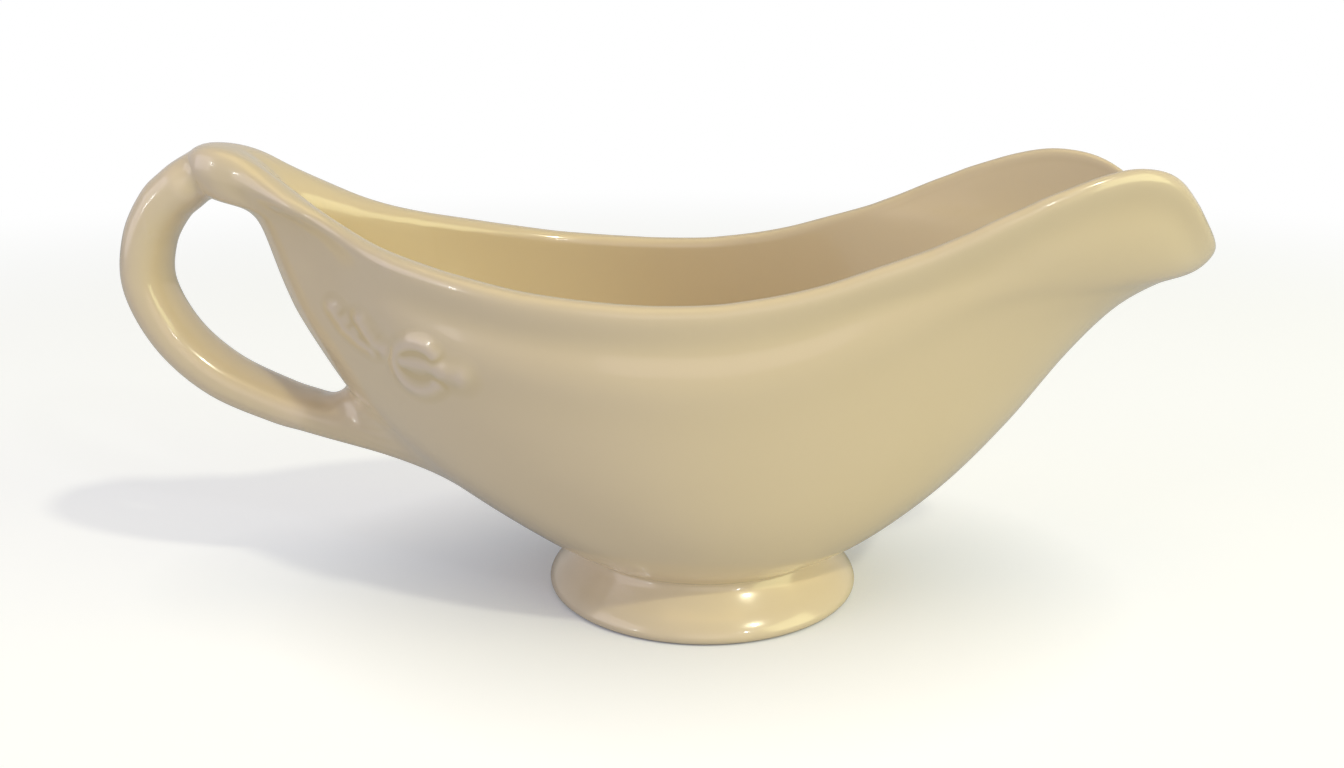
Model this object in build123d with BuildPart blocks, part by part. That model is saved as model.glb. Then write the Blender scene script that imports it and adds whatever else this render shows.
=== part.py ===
from build123d import *
import os

# Footed gravy boat, in millimetres. The origin is the centre of the foot's bearing
# ring, +X points out of the spout, the handle is at -X and +Z is up.

# ---- driving dimensions ----
WALL = 3.8              # thickness of the cast body
BEAM = 39.8             # greatest half width of the body
FOOT_HEIGHT = 9.5       # table to the flat seat under the body
FOOT_RADIUS = 32.0      # widest ring of the foot, a little above the table
FOOT_WIDEST_AT = 2.0
NECK_RADIUS = 26.6      # foot where it meets the body
SHOULDER_RADIUS = 31.3  # foot between its rounded edge and the cove under the body
SHOULDER_AT = 4.4
BEARING_OUTER = 30.2    # flat ring that stands on the table
BEARING_INNER = 26.4
FOOT_HOLLOW = 23.0      # radius of the hollow under the foot
HOLLOW_LIP = 4.6        # height at which the rounded inner edge ends

# The body is a hull drawn through ten level lines. Each line lies in its own plane
# from a point on the rear keel to a point on the front keel:
# rear x, rear z, front x, front z, half beam, widest share, tail fullness, nose fullness
HULL_LINES = [
    (-27.0, FOOT_HEIGHT, 27.0, FOOT_HEIGHT, 26.0, 0.50, 0.55, 0.55),
    (-36.0, 13.2, 38.5, 13.6, 30.5, 0.48, 0.50, 0.52),
    (-49.0, 20.8, 51.5, 23.5, 35.0, 0.46, 0.44, 0.46),
    (-60.5, 29.6, 63.0, 36.2, 37.8, 0.44, 0.38, 0.40),
    (-69.7, 39.3, 73.2, 50.0, 39.3, 0.43, 0.33, 0.36),
    (-77.0, 51.0, 82.0, 59.3, BEAM, 0.42, 0.30, 0.37),
    (-82.5, 62.5, 90.5, 64.4, 39.6, 0.41, 0.28, 0.40),
    (-87.5, 74.0, 97.6, 66.6, 39.3, 0.41, 0.28, 0.46),
    (-92.5, 84.0, 99.8, 74.0, 39.5, 0.41, 0.28, 0.56),
    (-97.5, 95.0, 101.5, 90.0, 40.3, 0.41, 0.28, 0.70),
]
TAIL_SHOULDER = 0.55    # pull of each line's curve before its widest point
NOSE_SHOULDER = [0.55, 0.52, 0.48, 0.45, 0.42, 0.40, 0.38, 0.36, 0.35, 0.34]
# extra wall at the rear, where the body thickens into the solid thumb rest
REST_DEPTH = [0, 0, 0, 0, 0, 0.5, 1.5, 4.0, 8.0, 10.0]

# Sheer of the rim seen from the side, x and z: high thumb rest, low middle,
# high shoulder of the spout, then down to the pouring tip
SHEER = [
    (-104, 89.6), (-95, 91.0), (-85, 87.4), (-74.7, 80.6), (-57, 73.2), (-32, 68.5),
    (-3, 66.6), (18.6, 69.3), (40, 76.0), (61.7, 85.4), (75, 88.4), (84, 86.0),
    (91, 79.5), (97, 73.8), (106, 69.5),
]
SKY = 120               # height above everything, for the trimming cut

# Loop handle: centre x, centre z, half thickness in the loop's plane, half width
HANDLE_LINE = [
    (-89.0, 84.2, 4.4, 5.6),
    (-98.5, 84.2, 5.1, 6.4),
    (-105.8, 79.8, 5.3, 6.5),
    (-109.8, 72.0, 5.6, 6.8),
    (-109.9, 63.0, 5.8, 7.1),
    (-105.6, 52.4, 5.6, 7.3),
    (-97.2, 44.2, 5.2, 7.3),
    (-86.0, 38.8, 4.5, 7.1),
    (-75.0, 36.0, 4.3, 7.2),
    (-65.0, 35.4, 4.4, 7.4),
    (-56.0, 38.0, 4.4, 7.4),
]

# Applied relief on each side of the body, near the handle, placed in the side view (x, z)
RELIEF = 1.2            # how far the ornaments stand off the wall
SPRIG_ROOT = 6.0        # how deep they are drawn before they are cut to the wall
SCROLL_AT = (-52.8, 52.3)
SCROLL_RADIUS = 7.5
SCROLL_BAND = 2.2
SCROLL_GAP = 84         # opening of the scroll's C towards the spout, in degrees
BUD_AT = (4.0, -0.6)    # from the scroll's centre, as are the places below
BUD_LENGTH = 12.5
BUD_WIDTH = 3.6
BUD_LEAN = -8
STEM_LENGTH = 6.5
LEAF_AT = (-65.0, 57.4)
LEAF_LEAN = -52         # direction of the leaves, in degrees
LEAVES = [              # centre along and across, length, width
    ((2.4, 1.6), 9.0, 2.8),
    ((-2.6, -0.4), 12.5, 3.4),
]
LEAF_KNOT = (3.2, -3.6)  # where the two leaves grow together
LEAF_KNOT_LENGTH = 7.0
LEAF_KNOT_WIDTH = 1.8
LEAF_KNOT_LEAN = 41


def level_line(rear, front, beam, widest, tail, nose, shoulder):
    """One closed level line as a face: a curve for the stern half, one for the bow, mirrored."""
    along = Vector(front[0] - rear[0], 0, front[1] - rear[1])
    across = Vector(0, 1, 0)
    length = along.length
    wide_x = widest * length
    with BuildSketch(Plane((rear[0], 0, rear[1]), x_dir=along, z_dir=along.cross(across))) as line:
        with BuildLine():
            Bezier((0, 0), (0, tail * beam), (wide_x * (1 - TAIL_SHOULDER), beam), (wide_x, beam))
            Bezier(
                (wide_x, beam),
                (wide_x + (length - wide_x) * shoulder, beam),
                (length, nose * beam),
                (length, 0),
            )
            mirror(about=Plane.XZ)
        make_face()
    return line.sketch.face()


def keel_inside(points, side):
    """Keel points moved inward by the wall. side is -1 for the rear keel, +1 for the front."""
    moved = []
    last = len(points) - 1
    for i, (x, z) in enumerate(points):
        before = points[max(i - 1, 0)]
        after = points[min(i + 1, last)]
        run = Vector(after[0] - before[0], after[1] - before[1]).normalized()
        moved.append((x - side * run.Y * WALL, z + side * run.X * WALL))
    return moved


rear_keel = [(line[0], line[1]) for line in HULL_LINES]
front_keel = [(line[2], line[3]) for line in HULL_LINES]
rear_inside = keel_inside(rear_keel, -1)
front_inside = keel_inside(front_keel, 1)
outer_lines = []
inner_lines = []
for i, line in enumerate(HULL_LINES):
    beam, widest, tail, nose = line[4:]
    shoulder = NOSE_SHOULDER[i]
    outer_lines.append(level_line(rear_keel[i], front_keel[i], beam, widest, tail, nose, shoulder))
    rear = (rear_inside[i][0] + REST_DEPTH[i], rear_inside[i][1])
    inner_lines.append(level_line(rear, front_inside[i], beam - WALL, widest, tail, nose, shoulder))

# ---- the body's outer form, solid, trimmed to the sheer ----
with BuildPart() as form:
    loft(outer_lines)
    with BuildSketch(Plane.XZ.offset(-2 * BEAM)):
        with BuildLine():
            rim = Spline(*SHEER)
            Polyline(rim @ 1, ((rim @ 1).X, SKY), ((rim @ 0).X, SKY), rim @ 0)
        make_face()
    extrude(amount=4 * BEAM, mode=Mode.SUBTRACT)

# ---- the cavity, the same form one wall further in ----
with BuildPart() as cavity:
    loft(inner_lines)

# ---- bowl: body, spout and solid thumb rest, cast in one ----
with BuildPart() as bowl:
    add(form.part)
    add(cavity.part, mode=Mode.SUBTRACT)
print("bowl volume", round(bowl.part.volume), "solids", len(bowl.part.solids()))
bowl.part.label = "bowl"

# ---- foot: a turned ring, hollow underneath, luted to the flat seat of the body ----
with BuildPart() as foot_ring:
    with BuildSketch(Plane.XZ):
        with BuildLine():
            Line((FOOT_HOLLOW, FOOT_HEIGHT), (NECK_RADIUS, FOOT_HEIGHT))
            ThreePointArc((NECK_RADIUS, FOOT_HEIGHT), (29.6, 7.4), (SHOULDER_RADIUS, SHOULDER_AT))
            ThreePointArc(
                (SHOULDER_RADIUS, SHOULDER_AT), (FOOT_RADIUS, FOOT_WIDEST_AT), (BEARING_OUTER, 0)
            )
            Line((BEARING_OUTER, 0), (BEARING_INNER, 0))
            ThreePointArc((BEARING_INNER, 0), (24.2, 1.6), (FOOT_HOLLOW, HOLLOW_LIP))
            Line((FOOT_HOLLOW, HOLLOW_LIP), (FOOT_HOLLOW, FOOT_HEIGHT))
        make_face()
    revolve(axis=Axis.Z)
foot_ring.part.label = "foot_ring"

# ---- handle: an oval section carried round the loop, both ends cut to the body ----
with BuildPart() as handle:
    centres = [Vector(x, 0, z) for x, z, _, _ in HANDLE_LINE]
    path = Spline(*centres, mode=Mode.PRIVATE)
    for centre, (_, _, half_thick, half_wide) in zip(centres, HANDLE_LINE):
        share = path.param_at_point(centre)
        with BuildSketch(Plane(origin=centre, x_dir=(0, 1, 0), z_dir=path % share)):
            Ellipse(half_wide, half_thick)
    loft()
    add(form.part, mode=Mode.SUBTRACT)
print("handle volume", round(handle.part.volume), "solids", len(handle.part.solids()))
handle.part.label = "handle"

# ---- applied relief: a C scroll with a bud, and a pair of leaves, on both sides ----
def side_plane(x, z):
    """The plane touching the body's -Y side at x, z. It faces out, its x axis is level."""
    hits = form.part.find_intersection_points(Axis((x, -2 * BEAM, z), (0, 1, 0)))
    point, outward = min(hits, key=lambda hit: hit[0].Y)
    if outward.Y > 0:
        outward = -outward
    return Plane(origin=point, x_dir=Vector(0, 0, 1).cross(outward), z_dir=outward)


with BuildPart() as scroll_sprig:
    with BuildSketch(side_plane(*SCROLL_AT).offset(RELIEF)):
        Circle(SCROLL_RADIUS)
        Circle(SCROLL_RADIUS - SCROLL_BAND, mode=Mode.SUBTRACT)
        with BuildLine():
            mouth = CenterArc((0, 0), 2 * SCROLL_RADIUS, -SCROLL_GAP / 2, SCROLL_GAP)
            Line((0, 0), mouth @ 0)
            Line((0, 0), mouth @ 1)
        make_face(mode=Mode.SUBTRACT)
        with Locations(BUD_AT):
            SlotOverall(BUD_LENGTH, BUD_WIDTH, rotation=BUD_LEAN)
        with Locations((STEM_LENGTH / 2 - SCROLL_RADIUS + SCROLL_BAND / 2, 0)):
            Rectangle(STEM_LENGTH, SCROLL_BAND)
    extrude(amount=-SPRIG_ROOT)
    add(form.part, mode=Mode.SUBTRACT)

with BuildPart() as leaf_sprig:
    with BuildSketch(side_plane(*LEAF_AT).offset(RELIEF)):
        for centre, leaf_length, leaf_width in LEAVES:
            with Locations(centre):
                Ellipse(leaf_length / 2, leaf_width / 2, rotation=LEAF_LEAN)
        with Locations(LEAF_KNOT):
            SlotOverall(LEAF_KNOT_LENGTH, LEAF_KNOT_WIDTH, rotation=LEAF_KNOT_LEAN)
    extrude(amount=-SPRIG_ROOT)
    add(form.part, mode=Mode.SUBTRACT)

pieces = [bowl.part, foot_ring.part, handle.part]
for name, sprig in (("scroll_sprig", scroll_sprig), ("leaf_sprig", leaf_sprig)):
    print(name, "volume", round(sprig.part.volume, 1), "solids", len(sprig.part.solids()))
    right = sprig.part
    left = mirror(right, about=Plane.XZ)
    right.label = name + "_right"
    left.label = name + "_left"
    pieces += [right, left]

os.makedirs("parts", exist_ok=True)
for piece in pieces:
    export_step(piece, f"parts/{piece.label}.step")
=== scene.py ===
# %% [markdown]
# # A footed gravy boat in pale yellow glaze
#
# This lesson rebuilds a gravy boat as a potter would make it. A slip-cast body with a long
# spout, a turned foot, a loop handle and small applied ornaments are made apart, joined, and
# covered with one glossy glaze. Everything is in metres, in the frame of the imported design
# model: +X leaves the spout, the handle is at -X, and the foot stands on z = 0.

# %% Load the design model as the frame
import math

import bmesh
import bpy
import numpy as np
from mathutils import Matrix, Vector
from mathutils.bvhtree import BVHTree


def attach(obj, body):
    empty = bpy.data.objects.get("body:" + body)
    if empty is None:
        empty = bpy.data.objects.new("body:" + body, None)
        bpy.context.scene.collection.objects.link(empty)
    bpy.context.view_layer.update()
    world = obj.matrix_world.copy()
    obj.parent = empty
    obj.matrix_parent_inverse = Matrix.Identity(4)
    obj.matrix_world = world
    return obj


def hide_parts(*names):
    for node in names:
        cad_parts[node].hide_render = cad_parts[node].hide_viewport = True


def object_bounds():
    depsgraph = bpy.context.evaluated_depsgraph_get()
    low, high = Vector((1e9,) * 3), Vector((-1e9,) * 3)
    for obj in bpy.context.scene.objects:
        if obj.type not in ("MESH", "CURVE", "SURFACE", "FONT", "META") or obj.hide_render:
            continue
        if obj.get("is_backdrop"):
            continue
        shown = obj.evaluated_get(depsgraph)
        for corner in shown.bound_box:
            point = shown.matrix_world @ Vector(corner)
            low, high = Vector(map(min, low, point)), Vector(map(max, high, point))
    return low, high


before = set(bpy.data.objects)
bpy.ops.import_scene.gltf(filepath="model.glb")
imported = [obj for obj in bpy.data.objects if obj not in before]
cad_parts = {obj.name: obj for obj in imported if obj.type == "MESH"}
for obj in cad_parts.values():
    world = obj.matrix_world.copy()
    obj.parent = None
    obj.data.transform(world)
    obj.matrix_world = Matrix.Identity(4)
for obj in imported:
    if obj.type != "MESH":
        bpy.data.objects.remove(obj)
design_low, design_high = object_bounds()
MM = 0.001
print("design box", [round(v / MM, 1) for v in (*design_low, *design_high)])

# %% [markdown]
# ## The lines of the body
#
# The body is a small hull, and like a hull it is easiest to draw as a table of level lines.
# Each line lies in its own tilted plane, from a point on the rear keel to a point on the front
# keel, with a half beam and a fullness at each end. These are the lines of the design model,
# with two things that only the finished surface needs: the rear keel runs out into a rounded
# thumb rest, and the quarters just ahead of it are pinched in.

# %% Level lines, in millimetres
FOOT_TOP = 9.5
# rear x, rear z, front x, front z, half beam, widest share, tail fullness, nose fullness, pinch
HULL_LINES = np.array([
    (-26.6, FOOT_TOP, 26.6, FOOT_TOP, 25.6, 0.50, 0.55, 0.55, 0.00),
    (-35.6, 14.0, 38.0, 14.6, 30.3, 0.48, 0.50, 0.52, 0.00),
    (-48.4, 21.8, 51.3, 24.4, 35.0, 0.46, 0.44, 0.46, 0.00),
    (-60.2, 30.2, 63.0, 36.6, 37.8, 0.44, 0.38, 0.40, 0.00),
    (-69.9, 39.5, 73.4, 50.0, 39.3, 0.43, 0.33, 0.36, 0.02),
    (-77.4, 51.0, 82.2, 59.2, 39.8, 0.42, 0.30, 0.36, 0.06),
    (-83.3, 62.5, 90.5, 64.2, 39.6, 0.41, 0.27, 0.38, 0.14),
    (-88.1, 76.8, 98.2, 66.9, 39.3, 0.41, 0.24, 0.42, 0.26),
    (-98.5, 81.6, 100.4, 74.0, 39.5, 0.41, 0.21, 0.55, 0.40),
    (-103.0, 90.5, 101.8, 90.0, 40.3, 0.41, 0.21, 0.70, 0.40),
])
TAIL_SHOULDER = 0.55
NOSE_SHOULDER = np.array([0.55, 0.52, 0.48, 0.45, 0.42, 0.40, 0.38, 0.36, 0.35, 0.34])
PINCH_AT = 13.0         # how far ahead of the rear keel the quarters are pinched most
PINCH_REACH = 9.0
WALL = 3.8
INNER_TAIL = 0.6        # the hollow is this much slimmer than the outside at the stern
REST_DEPTH = np.array([0, 0, 0, 0, 0, 0.5, 1.5, 4.5, 14.5, 15.0])

# sheer of the rim from the side, x and z
SHEER = np.array([
    (-106, 87.5), (-102, 90.0), (-99, 91.4), (-96, 91.5), (-90, 89.9), (-85, 87.4),
    (-80, 84.3), (-74.7, 80.8), (-65.5, 76.6), (-57, 73.7), (-46, 71.1), (-32, 68.5),
    (-15, 66.9), (-3, 66.6), (5, 67.1), (18.6, 69.3), (32.6, 73.3), (40, 76.0), (54.5, 81.9),
    (61.7, 84.8), (68.7, 87.0), (75, 88.0), (81.5, 87.2), (86, 85.0), (91, 80.6), (94, 77.4),
    (97, 74.6), (100, 72.0), (104, 70.0),
])


def through(table, at):
    """A smooth (Catmull-Rom) curve through the rows of a table, read at row numbers `at`."""
    at = np.asarray(at, float)
    last = len(table) - 1
    i = np.clip(np.floor(at).astype(int), 0, last - 1)
    t = (at - i)[..., None]
    here, there = table[i], table[i + 1]
    before = np.where((i > 0)[..., None], table[np.maximum(i - 1, 0)], 2 * here - there)
    after = np.where((i < last - 1)[..., None], table[np.minimum(i + 2, last)], 2 * there - here)
    bend = 2 * before - 5 * here + 4 * there - after
    twist = 3 * here - before - 3 * there + after
    return 0.5 * (2 * here + (there - before) * t + bend * t**2 + twist * t**3)


def bezier(a, b, c, d, t):
    return a * (1 - t) ** 3 + 3 * b * (1 - t) ** 2 * t + 3 * c * (1 - t) * t**2 + d * t**3


def sheer_at(x):
    """Height of the rim at x, smooth between the table's points."""
    rows = np.interp(x, SHEER[:, 0], np.arange(len(SHEER)))
    return through(SHEER, rows)[..., 1]


# %% [markdown]
# A point of the hull has two numbers: `share` runs from the stern (0) to the bow (1) along a
# level line, and `level` climbs from the foot (0) to above the rim (9). The far side is the
# same with the sign of y turned round.

# %% A point on the hull
def keel_inside(points, side):
    """The keel moved one wall inwards. side is -1 at the rear and +1 at the front."""
    run = np.gradient(points, axis=0)
    run /= np.linalg.norm(run, axis=1)[:, None]
    return points + WALL * np.stack([-side * run[:, 1], side * run[:, 0]], 1)


def lines_table(inside):
    pinch_x = HULL_LINES[:, 0:1] + PINCH_AT
    table = np.hstack([HULL_LINES, NOSE_SHOULDER[:, None], pinch_x])
    if inside:
        table[:, 0:2] = keel_inside(HULL_LINES[:, 0:2], -1)
        table[:, 2:4] = keel_inside(HULL_LINES[:, 2:4], 1)
        table[:, 0] += REST_DEPTH
        table[:, 4] -= WALL
        table[:, 6] *= INNER_TAIL
    return table


OUTER, INNER = lines_table(False), lines_table(True)


def hull(table, share, level):
    """Points (x, |y|, z) of a hull for arrays of share and level, in millimetres."""
    share, level = np.broadcast_arrays(np.asarray(share, float), np.asarray(level, float))
    row = through(table, level)
    columns = np.moveaxis(row, -1, 0)
    rear_x, rear_z, front_x, front_z, beam, widest, tail, nose, pinch, shoulder, pinch_x = columns
    stern, bow = np.clip(2 * share, 0, 1), np.clip(2 * share - 1, 0, 1)
    along_stern = bezier(0, 0, widest * (1 - TAIL_SHOULDER), widest, stern)
    along_bow = bezier(widest, widest + (1 - widest) * shoulder, 1, 1, bow)
    half_stern = bezier(0, tail * beam, beam, beam, stern)
    half_bow = bezier(beam, beam, nose * beam, 0, bow)
    along = np.where(share <= 0.5, along_stern, along_bow)
    half = np.where(share <= 0.5, half_stern, half_bow)
    x = rear_x + along * (front_x - rear_x)
    z = rear_z + along * (front_z - rear_z)
    half = half * (1 - pinch * np.exp(-(((x - pinch_x) / PINCH_REACH) ** 2)))
    return np.stack([x, half, z], -1)


def fade(x, start, end):
    """1 before start, 0 after end, smooth between."""
    t = np.clip((x - start) / (end - start), 0, 1)
    return 1 - t * t * (3 - 2 * t)


RIM_DROP = 2.3          # height of the rounded rim
REST_DROP = 3.4         # how much higher the rounding of the thumb rest is


def edge_at(x):
    """Height of the edge where the wall turns into the rounded rim."""
    return sheer_at(x) - RIM_DROP - REST_DROP * (1 - fade(-x, 70, 92))


LEAN, LEAN_REACH = 0.065, 0.45
LEAN_FROM, LEAN_TO = 6.9, 8.5


def meridian(table, share, level):
    """Points on a meridian. Those of the stern lean forward, so that each meets the rim once."""
    climb = 1 - fade(level, LEAN_FROM, LEAN_TO)
    lean = LEAN * np.sin(np.pi * np.clip(share / LEAN_REACH, 0, 1)) ** 2
    return hull(table, share + lean * climb, level)


def rim_level(table, share):
    """The level at which each meridian comes up to the edge of the rim."""
    low, high = np.full(np.shape(share), 1.0), np.full(np.shape(share), 9.0)
    for _ in range(40):
        middle = (low + high) / 2
        point = meridian(table, share, middle)
        above = point[..., 2] > edge_at(point[..., 0])
        high, low = np.where(above, middle, high), np.where(above, low, middle)
    return (low + high) / 2


print("rim edge at midships", np.round(meridian(OUTER, 0.5, rim_level(OUTER, np.array(0.5))), 1))

# %% [markdown]
# ## The cast body
#
# The skin of the body is a stack of closed hoops, one above the other: up the outside, over the
# rounded rim and down the inside to the floor. Each hoop starts as a plain circle whose points
# are moved onto the hull, and neighbouring hoops are bridged. The hoops are spaced by their
# distance below the rim, measured along the wall, so the moulding under the rim follows the
# sheer all the way round, as it does on the cast original.

# %% Hoops and skins
def hoop(bm, points):
    """A closed hoop through points (in millimetres), made from a circle. Returns its edges."""
    made = bmesh.ops.create_circle(bm, cap_ends=False, segments=len(points), radius=1)
    for vert, point in zip(made["verts"], points):
        vert.co = Vector(point) * MM
    return list({edge for vert in made["verts"] for edge in vert.link_edges})


def bridge(bm, hoops):
    for one, other in zip(hoops, hoops[1:]):
        bmesh.ops.bridge_loops(bm, edges=one + other)


def cap(bm, edges):
    bmesh.ops.holes_fill(bm, edges=edges, sides=0)


POOL_SCALE = 500        # hollowness, per metre, that counts as a full pool of glaze


def hollowness(vert):
    """How hollow the skin is at a point: positive in creases, negative on edges, per metre."""
    around = [edge.other_vert(vert).co for edge in vert.link_edges]
    middle = sum(around, Vector()) / len(around)
    spread = sum((co - vert.co).length_squared for co in around) / len(around)
    return (middle - vert.co).dot(vert.normal) * 4 / max(spread, 1e-12)


def rub(bm, low, high, passes):
    """Rubs the wet clay smooth inside a box, in millimetres."""
    inside = [
        vert for vert in bm.verts
        if all(a * MM < c < b * MM for a, c, b in zip(low, vert.co, high))
    ]
    for _ in range(passes):
        bmesh.ops.smooth_vert(
            bm, verts=inside, factor=0.5, use_axis_x=True, use_axis_y=True, use_axis_z=True
        )


pieces = []


def finish_piece(bm, name, node, levels=1):
    """Turns a bmesh into a smooth piece that stands for a node of the design model."""
    bmesh.ops.remove_doubles(bm, verts=bm.verts, dist=0.002 * MM)
    bmesh.ops.recalc_face_normals(bm, faces=bm.faces)
    bm.normal_update()
    pool = bm.verts.layers.float.new("pool")
    for vert in bm.verts:
        vert[pool] = min(max(hollowness(vert) / POOL_SCALE, -1), 1)
    for face in bm.faces:
        face.smooth = True
    mesh = bpy.data.meshes.new(name)
    bm.to_mesh(mesh)
    bm.free()
    piece = bpy.data.objects.new(name, mesh)
    bpy.context.scene.collection.objects.link(piece)
    if levels:
        fine = piece.modifiers.new("fine", "SUBSURF")
        fine.levels = fine.render_levels = levels
    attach(piece, "root")
    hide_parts(node)
    pieces.append(piece)
    print(name, len(mesh.vertices), "points,", len(mesh.polygons), "faces")
    return piece


# %% [markdown]
# The wall is not plain. Under the rolled rim runs a shallow cove, and under that a soft
# shoulder, both parallel to the rim. They die away towards the spout and the thumb rest. Their
# depth is a sum of three smooth bumps, so that the glaze light runs over them without a break.

# %% The profile of the wall below the rim
ROUND = 216             # points in one hoop
SAMPLES = 260           # steps in which the run of a meridian is measured
BEAD, BEAD_REACH = 0.5, 2.6
COVE, COVE_AT, COVE_REACH = 0.5, 5.6, 3.0
SHOULDER, SHOULDER_AT, SHOULDER_REACH = 0.55, 13.0, 4.6


def bump(distance, at, reach):
    return np.exp(-(((distance - at) / reach) ** 2))


def moulding(x, below):
    """How far the wall stands out, `below` millimetres under the rim at x."""
    fore = fade(x, 38, 84)
    aft = fade(-x, 42, 74)
    cove = -COVE * bump(below, COVE_AT, COVE_REACH) * (0.35 + 0.65 * fore)
    shoulder = SHOULDER * bump(below, SHOULDER_AT, SHOULDER_REACH) * (0.15 + 0.85 * fore)
    return BEAD * bump(below, 0, BEAD_REACH) * (0.3 + 0.7 * aft) + (cove + shoulder) * aft


def meridians(table, shares, distances, extra):
    """Hoops below the rim: first at fixed distances along the wall, then `extra` even steps."""
    top = rim_level(table, shares)
    steps = np.linspace(1, 0, SAMPLES)
    grid = meridian(table, shares[:, None], top[:, None] * steps)
    gaps = np.linalg.norm(np.diff(grid, axis=1), axis=2)
    run = np.hstack([np.zeros((len(shares), 1)), np.cumsum(gaps, axis=1)])
    hoops = []
    for distance in distances:
        level = np.array([np.interp(distance, row, end * steps) for row, end in zip(run, top)])
        hoops.append((meridian(table, shares, level), np.full(len(shares), distance)))
    last = level
    for step in np.linspace(1, 0, extra + 1)[1:]:
        level = last * step
        rising = [(end * steps)[::-1] for end in top]
        reach = [row[::-1] for row in run]
        below = np.array([np.interp(at, ends, row) for at, ends, row in zip(level, rising, reach)])
        hoops.append((meridian(table, shares, level), below))
    return hoops


def both_sides(points):
    """A half hoop from stern to bow, closed by its mirror on the other side."""
    mirrored = points[1:-1][::-1] * [1, -1, 1]
    return np.vstack([points, mirrored])


def outward(points):
    """Level outward direction of a half hoop, square to it."""
    run = np.gradient(points, axis=0)
    out = np.stack([-run[:, 1], run[:, 0], np.zeros(len(run))], 1)
    out /= np.linalg.norm(out, axis=1)[:, None] + 1e-9
    out[0], out[-1] = (-1, 0, 0), (1, 0, 0)
    return out


# %% [markdown]
# Now the hoops are cast: the outside with its moulding, then the rounded rim, whose hoops swing
# over from the outer to the inner edge, then the inside. The floor inside and the flat seat
# below, where the foot is joined, close towards the middle. Last, the rim is rubbed smooth
# between the flank and the thumb rest.

# %% Cast the body
half = ROUND // 2 + 1
CROWD = 0.035           # crowds the points a little between the ends and the middle
shares = np.linspace(0, 1, half)
shares = shares + CROWD * np.sin(4 * np.pi * shares) / (2 * np.pi)
OUTSIDE_STEPS = [
    0, 0.8, 1.6, 2.5, 3.4, 4.3, 5.2, 6.2, 7.2, 8.2,
    9.2, 10.2, 11.2, 12.2, 13.2, 14.4, 15.6, 17, 18.6, 20.4,
]
INSIDE_STEPS = [0, 0.8, 1.7, 2.8, 4.2, 6, 8, 10.5]
outside = meridians(OUTER, shares, OUTSIDE_STEPS, 34)
inside = meridians(INNER, shares, INSIDE_STEPS, 26)

outer_hoops = []
for points, below in outside:
    stand = moulding(points[:, 0], below)
    outer_hoops.append(points + outward(points) * stand[:, None])
inner_hoops = [points for points, _ in inside]

RIM_STEPS = 12
outer_edge, inner_edge = outer_hoops[0], inner_hoops[0]
rim_hoops = []
for step in range(1, RIM_STEPS):
    turn = math.pi * step / RIM_STEPS
    across = (1 - math.cos(turn)) / 2
    points = outer_edge + (inner_edge - outer_edge) * across
    edge_height = points[:, 2]
    crown = sheer_at(points[:, 0]) - edge_height
    fullness = 0.55 + 0.3 * fade(-points[:, 0], 75, 95)
    points[:, 2] = edge_height + crown * math.sin(turn) ** fullness
    rim_hoops.append(points)

bm = bmesh.new()
stack = [both_sides(p) for p in outer_hoops[::-1] + rim_hoops + inner_hoops]
FLOOR_DISH = 0.9
floor = inner_hoops[-1]
# towards the middle the hoops need fewer and fewer points
for share, skip in ((0.85, 1), (0.68, 1), (0.5, 2), (0.3, 4), (0.12, 12)):
    points = floor * [share, share, 1]
    points[:, 2] -= FLOOR_DISH * (1 - share**2)
    stack.append(both_sides(points)[::skip])
seat = outer_hoops[-1]
for share, skip in ((0.8, 2), (0.5, 4), (0.2, 12)):
    stack.insert(0, both_sides(seat * [share, share, 1])[::skip])
hoops = [hoop(bm, points) for points in stack]
bridge(bm, hoops)
cap(bm, hoops[0])
cap(bm, hoops[-1])
QUARTERS = ((-86, -40, 60), (-58, 40, 95))     # the rim between the flank and the thumb rest
rub(bm, *QUARTERS, passes=8)
body = finish_piece(bm, "cast_body", "bowl")


# %% [markdown]
# ## The turned foot
#
# The foot is a plain ring with a soft shoulder, turned on the wheel and stuck to the belly
# with slip. A profile spun about the z axis is the same motion in mesh code. It runs from the
# hidden top, down the outside to the bearing edge the boat stands on, and up into the hollow.

# %% Turn the foot
FOOT_OUTLINE = np.array([
    (0, 11.0), (14, 11.0), (24.8, 10.9), (25.7, 10.2), (25.8, 9.3), (26.4, 8.2), (27.6, 6.8),
    (29.1, 5.3), (30.6, 3.9), (31.7, 2.6), (32.2, 1.5), (32.0, 0.6), (31.3, 0.12), (30.2, 0.0),
    (27.4, 0.0), (26.2, 0.15), (25.4, 0.8), (24.9, 2.0), (24.2, 4.0), (22.6, 5.8), (19, 6.9),
    (10, 7.3), (0, 7.4),
])
FOOT_STEPS = 192


def spin_outline(bm, outline, per_span, steps):
    """Spins a smooth outline (radius, z in millimetres) about the z axis."""
    run = through(outline, np.linspace(0, len(outline) - 1, per_span * (len(outline) - 1) + 1))
    verts = [bm.verts.new(Vector((max(r, 0), 0, z)) * MM) for r, z in run]
    edges = [bm.edges.new(pair) for pair in zip(verts, verts[1:])]
    bmesh.ops.spin(
        bm, geom=verts + edges, cent=(0, 0, 0), axis=(0, 0, 1), angle=2 * math.pi,
        steps=steps, use_merge=True, use_normal_flip=False, use_duplicate=False,
    )


bm = bmesh.new()
spin_outline(bm, FOOT_OUTLINE, 4, FOOT_STEPS)
foot = finish_piece(bm, "turned_foot", "foot_ring", levels=0)

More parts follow.
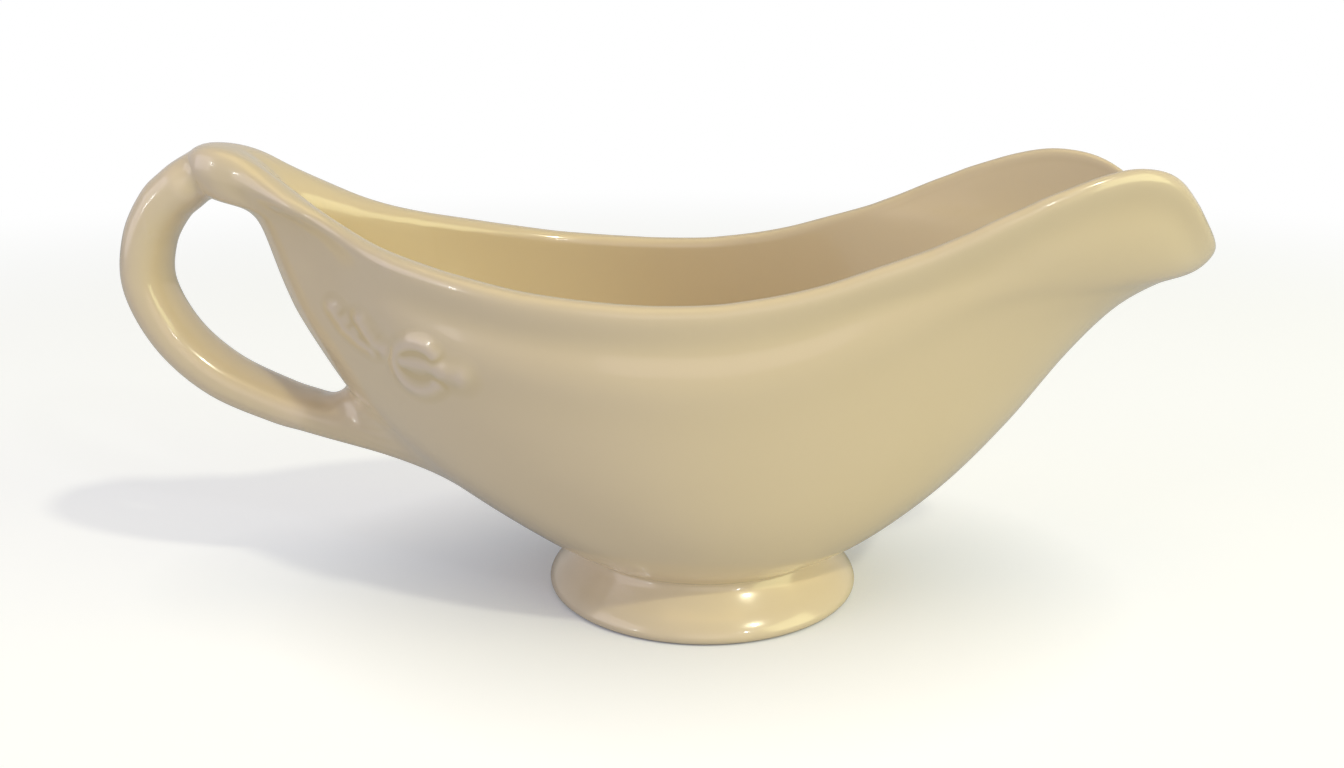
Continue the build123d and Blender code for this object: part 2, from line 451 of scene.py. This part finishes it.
# %% [markdown]
# ## The loop handle
#
# The handle is a pulled strap of clay, flat on the inside of the loop and round at its edges.
# Its upper end is pressed into the thumb rest. Its lower end is spread out over the stern with
# wet clay, so it meets the body in a wide, smooth fillet. The strap is a stack of rounded
# hoops along its centre line. The fillet is drawn one ray at a time: each point of the last
# hoop runs out on a curve that arrives flat on the body, at a point found by casting a ray.

# %% Helpers for laying clay on the body
def skin_tree(piece):
    """A search tree of a finished piece's skin, as it is after its modifiers."""
    fine = piece.evaluated_get(bpy.context.evaluated_depsgraph_get()).to_mesh()
    points = [vert.co.copy() for vert in fine.vertices]
    faces = [tuple(face.vertices) for face in fine.polygons]
    return BVHTree.FromPolygons(points, faces)


body_skin = skin_tree(body)


def on_body(start, direction):
    """Where a ray meets the body: point in millimetres, and the outward normal."""
    hit, normal, _, _ = body_skin.ray_cast(Vector(start) * MM, Vector(direction))
    return np.array(hit) / MM, np.array(normal)


# centre line of the strap, x and z, then half thickness and half width
STRAP = np.array([
    (-101.6, 82.4, 4.8, 6.5), (-105.5, 79.0, 4.7, 6.6), (-109.4, 72.2, 4.5, 6.7),
    (-110.5, 63.0, 4.4, 6.8), (-105.9, 52.6, 4.4, 7.0), (-97.5, 44.4, 4.4, 7.1),
    (-86.5, 38.9, 4.1, 7.1), (-80.0, 36.7, 3.9, 7.2),
])
STRAP_HOOPS = 70
STRAP_POINTS = 64
STRAP_SQUARE = 2.3      # 2 is an ellipse, more is squarer

angles = np.linspace(0, 2 * math.pi, STRAP_POINTS, endpoint=False)
round_way, side_way = np.cos(angles), np.sin(angles)


def squarish(way):
    return np.sign(way) * np.abs(way) ** (2 / STRAP_SQUARE)


centre_line = through(STRAP, np.linspace(0, len(STRAP) - 1, STRAP_HOOPS))
runs = np.gradient(centre_line[:, :2], axis=0)
runs /= np.linalg.norm(runs, axis=1)[:, None]
strap = []
for (x, z, thick, wide), (run_x, run_z) in zip(centre_line, runs):
    lift = thick * squarish(round_way)
    strap.append(np.stack([x - run_z * lift, wide * squarish(side_way), z + run_x * lift], 1))
print("strap length", round(float(np.linalg.norm(np.diff(centre_line[:, :2], axis=0), axis=1).sum())))

# %% [markdown]
# Each end of the strap is spread in the same way. The hoops swing from the direction of the
# strap to the direction of the skin, sink under it, and close in a small core inside the body.
# The upper joint is rubbed smooth too.

# %% Spread both ends of the strap over the body
JOINT_STEPS = 18
SINKING = ((0.5, 0.01), (1.1, 0.06), (1.6, 0.4), (1.8, 1.4))    # along and under the skin
CORE_SHARE, CORE_SKIP = 0.4, 4


def land(start, direction, away):
    """Where a ray meets the body, its outward normal, and `away` laid flat on the body there."""
    point, normal = on_body(start, direction)
    away = away - normal * away.dot(normal)
    return point, normal, away / np.linalg.norm(away)


def spread(last, forward, landings, pull):
    """Hoops from the end of the strap that land flat on the body, then sink into it."""
    feet, normals, arrivals = (np.array(part) for part in zip(*landings))
    reach = np.linalg.norm(feet - last, axis=1)[:, None] * pull
    steps = np.linspace(0, 1, JOINT_STEPS + 1)[1:]
    rings = [bezier(last, last + forward * reach, feet - arrivals * reach, feet, t) for t in steps]
    rings += [feet + arrivals * on - normals * down for on, down in SINKING]
    core = rings[-1].mean(axis=0)
    rings.append((core + (rings[-1] - core) * CORE_SHARE)[::CORE_SKIP])
    return rings


# lower end: rays run forward on to the stern
ROOT_CENTRE, ROOT_HIGH, ROOT_WIDE = 31.3, 12.6, 16.5
landings = []
for up, aside in zip(round_way, side_way):
    start = (-150, ROOT_WIDE * aside, ROOT_CENTRE + ROOT_HIGH * up)
    landings.append(land(start, (1, 0, 0), np.array([0, ROOT_HIGH * aside, ROOT_WIDE * up])))
root = spread(strap[-1], np.array([runs[-1][0], 0, runs[-1][1]]), landings, 0.42)

# upper end: rays run in towards the middle of the thumb rest
REST_RING = np.array([-97.2, 0.0, 86.0])
REST_LEAN = math.radians(20)
landings = []
for up, aside in zip(round_way, side_way):
    out = np.array([up * math.sin(REST_LEAN), aside, -up * math.cos(REST_LEAN)])
    landings.append(land(REST_RING + out * 40, -out, np.array([1.0, 0, 0])))
sleeve = spread(strap[0], -np.array([runs[0][0], 0, runs[0][1]]), landings, 0.36)

bm = bmesh.new()
hoops = [hoop(bm, points) for points in sleeve[::-1] + strap + root]
bridge(bm, hoops)
cap(bm, hoops[0])
cap(bm, hoops[-1])
UPPER_JOINT = ((-107, -9, 74), (-97, 9, 95))
rub(bm, *UPPER_JOINT, passes=6)
finish_piece(bm, "strap_handle", "handle")


# %% [markdown]
# ## The small ornaments
#
# On each flank, close to the handle, sit two small reliefs: a scroll with a bud, and a pair of
# leaves. The glaze has softened them until they are only swellings. Each is a fine grid laid
# on the body by ray casting and lifted by a height that falls off smoothly from a few pen
# strokes. Where the height would be nothing the grid is cut away, and the last rows dip just
# under the glaze, so no edge shows.

# %% Pen strokes, x and z on the flank in millimetres, with width and height
def arc(centre, radius, start, end, count=40):
    turns = np.radians(np.linspace(start, end, count))
    return [(centre[0] + radius * math.cos(a), centre[1] + radius * math.sin(a)) for a in turns]


SCROLL_STROKES = [
    (arc((-51.7, 53.5), 4.5, 42, 318), 1.5, 0.7),
    ([(-54.4, 54.4), (-49.7, 54.3), (-46.6, 53.7)], 1.7, 0.9),
    ([(-46.8, 53.6), (-43.6, 53.0)], 2.2, 1.0),
]
LEAF_STROKES = [
    ([(-63.4, 60.4), (-62.0, 58.2), (-60.6, 56.6), (-58.9, 55.8)], 1.7, 0.75),
    ([(-70.0, 61.6), (-67.4, 58.2), (-64.1, 56.0), (-61.6, 55.0)], 1.5, 0.6),
    ([(-69.2, 61.7), (-69.0, 61.5)], 1.6, 0.5),
    ([(-67.2, 59.6), (-67.0, 59.4)], 1.6, 0.5),
    ([(-65.0, 57.9), (-64.8, 57.7)], 1.6, 0.5),
]
CELL = 0.33             # spacing of the grid, in millimetres
SINK = 0.012            # the flat of the grid lies this far under the skin
MARGIN = 5              # of grid around the strokes
SKIRT = 0.6             # how far the hidden edge of a relief reaches into the body
FAR_OUT = 90            # rays start this far from the middle plane


def stroke_height(points, strokes):
    """Height over (x, z) points: a soft ridge along each stroke, melted together."""
    total = np.zeros(len(points))
    for path, width, height in strokes:
        path = np.array(path)
        nearest = np.full(len(points), 1e9)
        for a, b in zip(path, path[1:]):
            t = np.clip((points - a) @ (b - a) / ((b - a) @ (b - a)), 0, 1)
            nearest = np.minimum(nearest, np.linalg.norm(points - a - t[:, None] * (b - a), axis=1))
        total += (height * np.exp(-((nearest / width) ** 2))) ** 3
    return total ** (1 / 3) - SINK


def relief(name, node, strokes, side):
    """A relief on one flank. side is -1 for the right flank and +1 for the left one."""
    places = np.vstack([path for path, _, _ in strokes])
    low, high = places.min(axis=0) - MARGIN, places.max(axis=0) + MARGIN
    middle, half_size = (low + high) / 2, (high - low) / 2
    counts = np.ceil(2 * half_size / CELL).astype(int)
    bm = bmesh.new()
    bmesh.ops.create_grid(bm, x_segments=counts[0], y_segments=counts[1], size=1)
    flat = np.array([vert.co[:2] for vert in bm.verts]) * half_size + middle
    heights = stroke_height(flat, strokes)
    raised = heights > -0.9 * SINK
    bare = [vert for vert, keep in zip(bm.verts, raised) if not keep]
    bmesh.ops.delete(bm, geom=bare, context="VERTS")
    for vert, (x, z), height in zip(bm.verts, flat[raised], heights[raised]):
        point, normal = on_body((x, side * FAR_OUT, z), (0, -side, 0))
        vert.co = Vector(point + normal * height) * MM
    for _ in range(3):
        bmesh.ops.smooth_vert(
            bm, verts=bm.verts, factor=0.5, use_axis_x=True, use_axis_y=True, use_axis_z=True
        )
    bmesh.ops.recalc_face_normals(bm, faces=bm.faces)
    rim = [edge for edge in bm.edges if edge.is_boundary]
    wall = bmesh.ops.extrude_edge_only(bm, edges=rim)["geom"]
    for vert in [v for v in wall if isinstance(v, bmesh.types.BMVert)]:
        vert.co.y -= side * SKIRT * MM
    return finish_piece(bm, name, node, levels=0)


for side, word in ((-1, "right"), (1, "left")):
    relief("scroll_relief_" + word, "scroll_sprig_" + word, SCROLL_STROKES, side)
    relief("leaf_relief_" + word, "leaf_sprig_" + word, LEAF_STROKES, side)


# %% [markdown]
# ## The glaze
#
# One glossy, pale yellow glaze covers everything. On real ware it is never quite even. It runs
# off edges, so they are a touch paler and pinker, and gathers in hollows, where it is deeper.
# It also clouds a little in the kiln, and the gloss has the faint ripple of a melted skin.
# Two small classes keep the shader readable: `Value` lets a socket take part in ordinary
# arithmetic, and `Recipe` makes any node from its type, its settings and its inputs.

# %% Shader helpers
class Value:
    """A socket that takes part in arithmetic. Each operation adds its Math node."""

    def __init__(self, recipe, socket):
        self.recipe, self.socket = recipe, socket

    def math(self, operation, *others):
        inputs = dict(enumerate((self, *others)))
        return self.recipe.node("ShaderNodeMath", {"operation": operation}, inputs)["Value"]

    def __add__(self, other):
        return self.math("ADD", other)

    def __mul__(self, other):
        return self.math("MULTIPLY", other)

    def __sub__(self, other):
        return self.math("SUBTRACT", other)

    def __rsub__(self, other):
        return self * -1 + other

    __radd__ = __add__
    __rmul__ = __mul__

    def within(self):
        """The value held between 0 and 1."""
        return self.recipe.node("ShaderNodeClamp", None, {"Value": self})["Result"]


class Recipe:
    """A material or a world under construction."""

    def __init__(self, name, kind="materials"):
        self.made = getattr(bpy.data, kind).new(name)
        self.made.use_nodes = True
        self.tree = self.made.node_tree
        self.tree.nodes.clear()

    def node(self, kind, settings=None, inputs=None):
        """Adds a node, settings first, then values or links. Returns its outputs by name."""
        made = self.tree.nodes.new(kind)
        for key, value in (settings or {}).items():
            setattr(made, key, value)
        for key, value in (inputs or {}).items():
            if isinstance(value, Value):
                self.tree.links.new(value.socket, made.inputs[key])
            else:
                made.inputs[key].default_value = value
        return {socket.name: Value(self, socket) for socket in made.outputs if socket.enabled}

    def mix(self, share, one, other):
        """A colour between two colours."""
        settings = {"data_type": "RGBA", "clamp_factor": True}
        return self.node("ShaderNodeMix", settings, {0: share, 6: one, 7: other})["Result"]

    def noise(self, place, scale, detail):
        inputs = {"Vector": place, "Scale": scale, "Detail": detail}
        return list(self.node("ShaderNodeTexNoise", None, inputs).values())[0]


# %% [markdown]
# The recipe reads the `pool` attribute that was measured on every point, blurred by a cloudy
# noise. The unglazed bearing edge of the foot is wiped clean before firing, so it shows the
# dry, off-white clay.

# %% Mix the glaze
GLASS_IOR = 1.5
COAT = 0.6
COAT_ROUGHNESS = 0.04
RIPPLE = 0.06
GLAZE_BODY = (0.800, 0.665, 0.455, 1)
GLAZE_THIN = (0.830, 0.695, 0.535, 1)
GLAZE_THICK = (0.730, 0.590, 0.350, 1)
BARE_CLAY = (0.62, 0.55, 0.46, 1)
BARE_BELOW = 0.25 * MM


def glaze(name, bare_edge=False):
    recipe = Recipe(name)
    place = recipe.node("ShaderNodeTexCoord")["Object"]
    pool = recipe.node("ShaderNodeAttribute", {"attribute_name": "pool"})["Fac"]
    cloud = recipe.noise(place, 22, 3)
    speckle = recipe.noise(place, 900, 2)
    thick = (pool * 1.6 + (cloud - 0.5) * 0.7).within()
    thin = (pool * -1.2 + (0.5 - cloud) * 0.5).within()
    colour = recipe.mix(thick, GLAZE_BODY, GLAZE_THICK)
    colour = recipe.mix(thin, colour, GLAZE_THIN)
    gloss = cloud * 0.05 + speckle * 0.03 + 0.15
    coat = COAT
    if bare_edge:
        height = recipe.node("ShaderNodeSeparateXYZ", None, {0: place})["Z"]
        bare = ((BARE_BELOW - height) * (4 / BARE_BELOW)).within()
        colour = recipe.mix(bare, colour, BARE_CLAY)
        gloss = gloss + bare * 0.5
        coat = (1 - bare) * COAT
    ripple = recipe.noise(place, 60, 2) * 0.75 + recipe.noise(place, 420, 1) * 0.25
    waves = {"Height": ripple, "Strength": RIPPLE, "Distance": MM}
    skin = recipe.node("ShaderNodeBump", None, waves)
    shader = recipe.node("ShaderNodeBsdfPrincipled", None, {
        "Base Color": colour, "Roughness": gloss, "IOR": GLASS_IOR, "Coat Weight": coat,
        "Coat Roughness": COAT_ROUGHNESS, "Coat IOR": GLASS_IOR, "Normal": skin["Normal"],
        "Coat Normal": skin["Normal"],
    })["BSDF"]
    recipe.node("ShaderNodeOutputMaterial", None, {"Surface": shader})
    return recipe.made


body_glaze = glaze("body_glaze")
for piece in pieces:
    worn = glaze("foot_glaze", bare_edge=True) if piece is foot else body_glaze
    piece.data.materials.append(worn)
print(len(pieces), "pieces glazed")

# %% [markdown]
# ## The studio
#
# The boat stands on pale paper that turns white further away. The paper glows a little and takes
# only part of the light, which keeps the shadows as soft grey as they are in a light tent. A
# small sun gives the shadow its edge.

# %% Lay the paper
floor_bm = bmesh.new()
PAPER_HALF = 30
bmesh.ops.create_grid(floor_bm, x_segments=1, y_segments=1, size=PAPER_HALF)
floor_mesh = bpy.data.meshes.new("paper")
floor_bm.to_mesh(floor_mesh)
floor_bm.free()
paper = bpy.data.objects.new("paper", floor_mesh)
bpy.context.scene.collection.objects.link(paper)
paper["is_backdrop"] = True

# next to the boat an occlusion term dims the paper's glow: a painted contact shadow
CONTACT_REACH = 0.045   # the paper's glow dies away this close to the boat
SWEEP = (0.30, 0.75)    # the paper turns white between these distances
SHOWN = (0.78, 0.49)    # shade and glow of the paper, as the camera sees it
UNSEEN = (0.50, 0.17)   # the same for every other ray


def paper_look(recipe, shade, glow):
    """Matt, slightly cool paper that glows; next to the boat the glow fades as painted shadow."""
    cool = (0.97 * shade, shade, 1.07 * shade, 1)
    matt = recipe.node("ShaderNodeBsdfDiffuse", None, {"Color": cool})
    # painted contact shadow: occlusion darkens the paper's glow close to the boat
    painted_contact_shade = recipe.node("ShaderNodeAmbientOcclusion", {"samples": 8}, {"Distance": CONTACT_REACH})
    shine = recipe.node("ShaderNodeEmission", None, {"Strength": painted_contact_shade["AO"] * glow})
    sum_of = {0: matt["BSDF"], 1: shine["Emission"]}
    return recipe.node("ShaderNodeAddShader", None, sum_of)["Shader"]


def blend_shaders(recipe, share, one, other):
    return recipe.node("ShaderNodeMixShader", None, {0: share, 1: one, 2: other})["Shader"]


recipe = Recipe("paper")
place = recipe.node("ShaderNodeTexCoord")["Object"]
away = recipe.node("ShaderNodeVectorMath", {"operation": "LENGTH"}, {0: place})["Value"]
span = {"Value": away, "From Min": SWEEP[0], "From Max": SWEEP[1]}
far = recipe.node("ShaderNodeMapRange", {"interpolation_type": "SMOOTHSTEP"}, span)["Result"]
white = recipe.node("ShaderNodeEmission", None, {"Strength": 1.0})["Emission"]
shown = blend_shaders(recipe, far, paper_look(recipe, *SHOWN), white)
seen = recipe.node("ShaderNodeLightPath")["Is Camera Ray"]
surface = blend_shaders(recipe, seen, paper_look(recipe, *UNSEEN), shown)
recipe.node("ShaderNodeOutputMaterial", None, {"Surface": surface})
paper.data.materials.append(recipe.made)
print("paper", 2 * PAPER_HALF, "m square")

# %% [markdown]
# Large softboxes shape the body, and two small bright windows give the glaze its sparks. The
# tent is dim for the light it throws on the boat, brighter where the glaze mirrors it, and
# white where it is seen directly.

# %% Hang the lights
recipe = Recipe("studio", "worlds")
ray = recipe.node("ShaderNodeLightPath")


def backdrop(colour, strength):
    look = {"Color": (*colour, 1), "Strength": strength}
    return recipe.node("ShaderNodeBackground", None, look)["Background"]


tent = backdrop((0.55, 0.75, 1.0), 0.20)
mirrored = backdrop((1, 0.97, 0.95), 0.62)
seen_plainly = backdrop((1, 1, 1), 1.0)
sky = blend_shaders(recipe, ray["Is Glossy Ray"], tent, mirrored)
sky = blend_shaders(recipe, ray["Is Camera Ray"], sky, seen_plainly)
recipe.node("ShaderNodeOutputWorld", None, {"Surface": sky})
bpy.context.scene.world = recipe.made


LAMP_DISTANCE = 1.2
BELLY_HEIGHT = 0.05     # the lamps aim at this height


def lamp(name, kind, towards, energy, colour, distance=LAMP_DISTANCE, **settings):
    """A light that stands off in the direction `towards` and shines back at the boat."""
    data = bpy.data.lights.new(name, kind)
    data.energy, data.color = energy, colour
    for key, value in settings.items():
        setattr(data, key, value)
    made = bpy.data.objects.new(name, data)
    bpy.context.scene.collection.objects.link(made)
    aim = Vector(towards).normalized()
    made.location = aim * distance + Vector((0, 0, BELLY_HEIGHT))
    made.rotation_euler = aim.to_track_quat("Z", "Y").to_euler()
    print(name, energy)


def softbox(name, towards, energy, colour, wide, high, distance=LAMP_DISTANCE):
    size = {"shape": "RECTANGLE", "size": wide, "size_y": high}
    lamp(name, "AREA", towards, energy, colour, distance, **size)


lamp("sun", "SUN", (38, -35, 60), 0.73, (1, 0.95, 0.70), angle=math.radians(4))
softbox("front_softbox", (0.15, -1, 0.35), 1.2, (1, 0.84, 0.93), 1.0, 0.7)
softbox("right_softbox", (1, -0.45, 0.35), 5.6, (1, 0.97, 0.50), 0.8, 0.8)
softbox("left_softbox", (-1, -0.45, 0.35), 2.6, (1, 0.91, 0.98), 0.8, 0.8)
softbox("top_softbox", (0, -0.05, 1), 3.0, (1, 0.72, 0.3), 1.0, 1.0)
softbox("window", (-0.73, -0.66, 0.2), 0.24, (1, 1, 1), 0.03, 0.12, 0.9)
softbox("front_window", (0.47, -0.73, 0.50), 0.34, (1, 1, 1), 0.05, 0.05, 0.9)

# %% [markdown]
# ## The camera
#
# The camera looks slightly down at the right flank, from in front of the middle.

# %% Set up the camera
LENS, SENSOR = 31.607, 36       # both in millimetres
CAMERA_AT = (-6.4, -232.1, 108.0)
CAMERA_TILT = 74.2              # degrees up from straight down
camera_data = bpy.data.cameras.new("camera")
camera_data.lens = LENS
camera_data.sensor_width = SENSOR
camera_data.clip_start = 10 * MM
camera = bpy.data.objects.new("camera", camera_data)
camera.location = Vector(CAMERA_AT) * MM
camera.rotation_euler = (math.radians(CAMERA_TILT), 0, 0)
bpy.context.scene.collection.objects.link(camera)
bpy.context.scene.camera = camera
bpy.context.scene.view_settings.view_transform = "Standard"
print("camera at", CAMERA_AT, "with a lens of", LENS)

# %% [markdown]
# ## Sizes
#
# Last, the size of the finished boat is printed beside that of the design model, so that the
# two can be compared.

# %% Print the sizes and finish
visual_low, visual_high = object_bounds()
sizes = {
    "cad": [list(design_low), list(design_high)],
    "visual": [list(visual_low), list(visual_high)],
}
for name, corners in sizes.items():
    print(name, [round(v / MM, 1) for corner in corners for v in corner])
